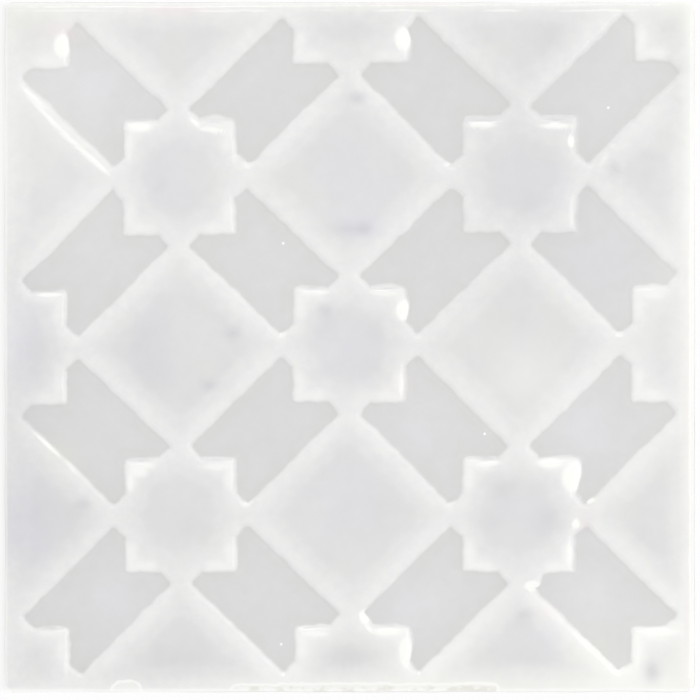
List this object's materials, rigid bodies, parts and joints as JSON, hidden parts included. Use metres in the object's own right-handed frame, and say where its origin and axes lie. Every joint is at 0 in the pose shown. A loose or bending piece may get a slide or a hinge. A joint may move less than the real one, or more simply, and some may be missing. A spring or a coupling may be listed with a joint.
{
  "type": "porcelain tile",
  "caption": "Square glazed porcelain tile with a raised lattice of stars and diamonds around sunken notched strips, and a keyed back for the adhesive.",
  "frame": {"origin": "middle of the plane of the back, which the tile lies on", "axes": "+Z up through the glazed face, +X to the right and +Y up in the picture, both along the sides of the square"},
  "size_m": [0.15, 0.15, 0.01],
  "materials": {
    "glazed_body": "glossy white glaze over a pale fired body"
  },
  "bodies": {
    "root": {"relief_tile": "glazed_body"}
  },
  "joints": []
}
